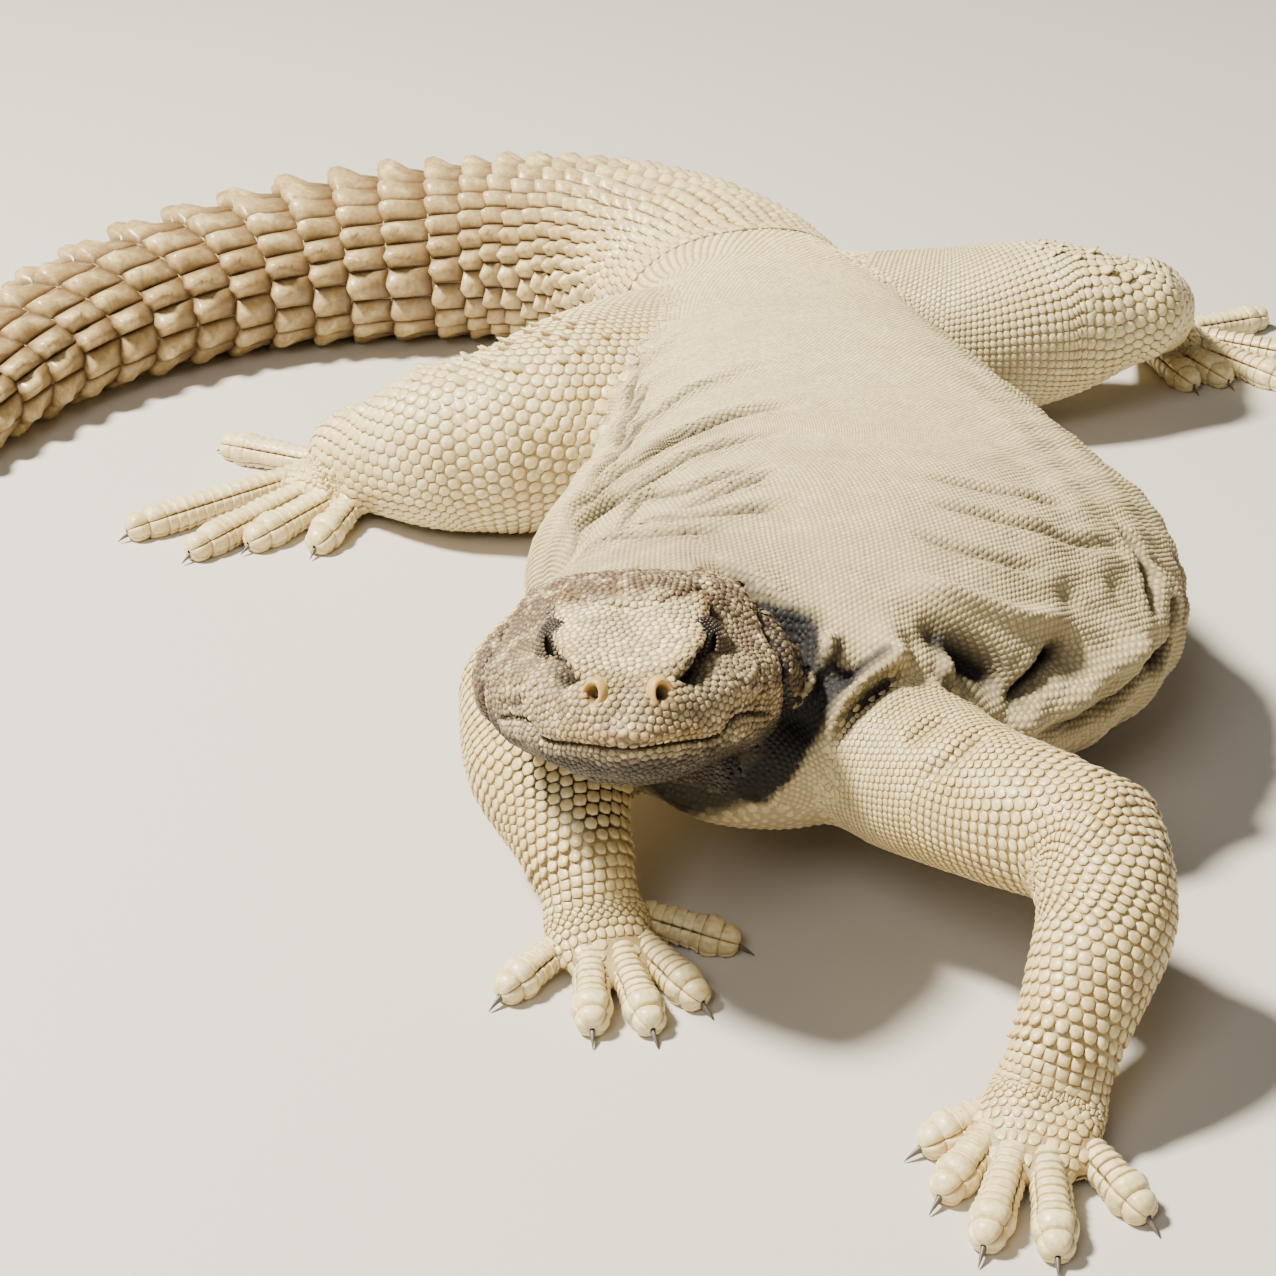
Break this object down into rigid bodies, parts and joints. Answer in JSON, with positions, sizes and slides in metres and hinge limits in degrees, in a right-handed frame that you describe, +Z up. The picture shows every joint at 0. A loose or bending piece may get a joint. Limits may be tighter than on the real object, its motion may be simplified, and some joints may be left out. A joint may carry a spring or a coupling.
{
  "type": "uromastyx lizard model",
  "caption": "Life-size still model of a large desert lizard with a flattened body and a whorled spiny tail, resting on its belly, hands, feet and tail.",
  "frame": {"origin": "on the floor, in the middle of the flat on which the belly rests", "axes": "+Z up, -Y ahead of the animal, +X to its own left; the tail sweeps round towards -X"},
  "size_m": [0.4126, 0.4658, 0.0757],
  "materials": {
    "back_skin": "fine matt granular scales, warm grey-beige",
    "head_skin": "small pebbly scales, mottled grey-brown and tan",
    "limb_skin": "rounded scales, half glossy, cream to sand yellow",
    "tail_scutes": "keeled spiny scutes, half glossy, sand yellow with darker seams",
    "claw_horn": "smooth dark horn",
    "eye": "wet, almost black"
  },
  "bodies": {
    "root": {"head": "head_skin", "lower_jaw": "head_skin", "eye_left": "eye", "eye_right": "eye", "chest": "back_skin", "belly": "back_skin", "pelvis": "back_skin", "neck": "back_skin", "tail_root": "tail_scutes", "tail_sweep": "tail_scutes", "tail_middle": "tail_scutes", "tail_bend": "tail_scutes", "tail_end": "tail_scutes", "tail_tip": "tail_scutes", "upper_arm_right": "limb_skin", "forearm_right": "limb_skin", "upper_arm_left": "limb_skin", "forearm_left": "limb_skin", "thigh_right": "limb_skin", "shank_right": "limb_skin", "thigh_left": "limb_skin", "shank_left": "limb_skin", "hand_right": "limb_skin", "claw_hand_right_1": "claw_horn", "claw_hand_right_2": "claw_horn", "claw_hand_right_3": "claw_horn", "claw_hand_right_4": "claw_horn", "claw_hand_right_5": "claw_horn", "hand_left": "limb_skin", "claw_hand_left_1": "claw_horn", "claw_hand_left_2": "claw_horn", "claw_hand_left_3": "claw_horn", "claw_hand_left_4": "claw_horn", "claw_hand_left_5": "claw_horn", "foot_right": "limb_skin", "claw_foot_right_1": "claw_horn", "claw_foot_right_2": "claw_horn", "claw_foot_right_3": "claw_horn", "claw_foot_right_4": "claw_horn", "claw_foot_right_5": "claw_horn", "foot_left": "limb_skin", "claw_foot_left_1": "claw_horn", "claw_foot_left_2": "claw_horn", "claw_foot_left_3": "claw_horn", "claw_foot_left_4": "claw_horn", "claw_foot_left_5": "claw_horn"}
  },
  "joints": []
}
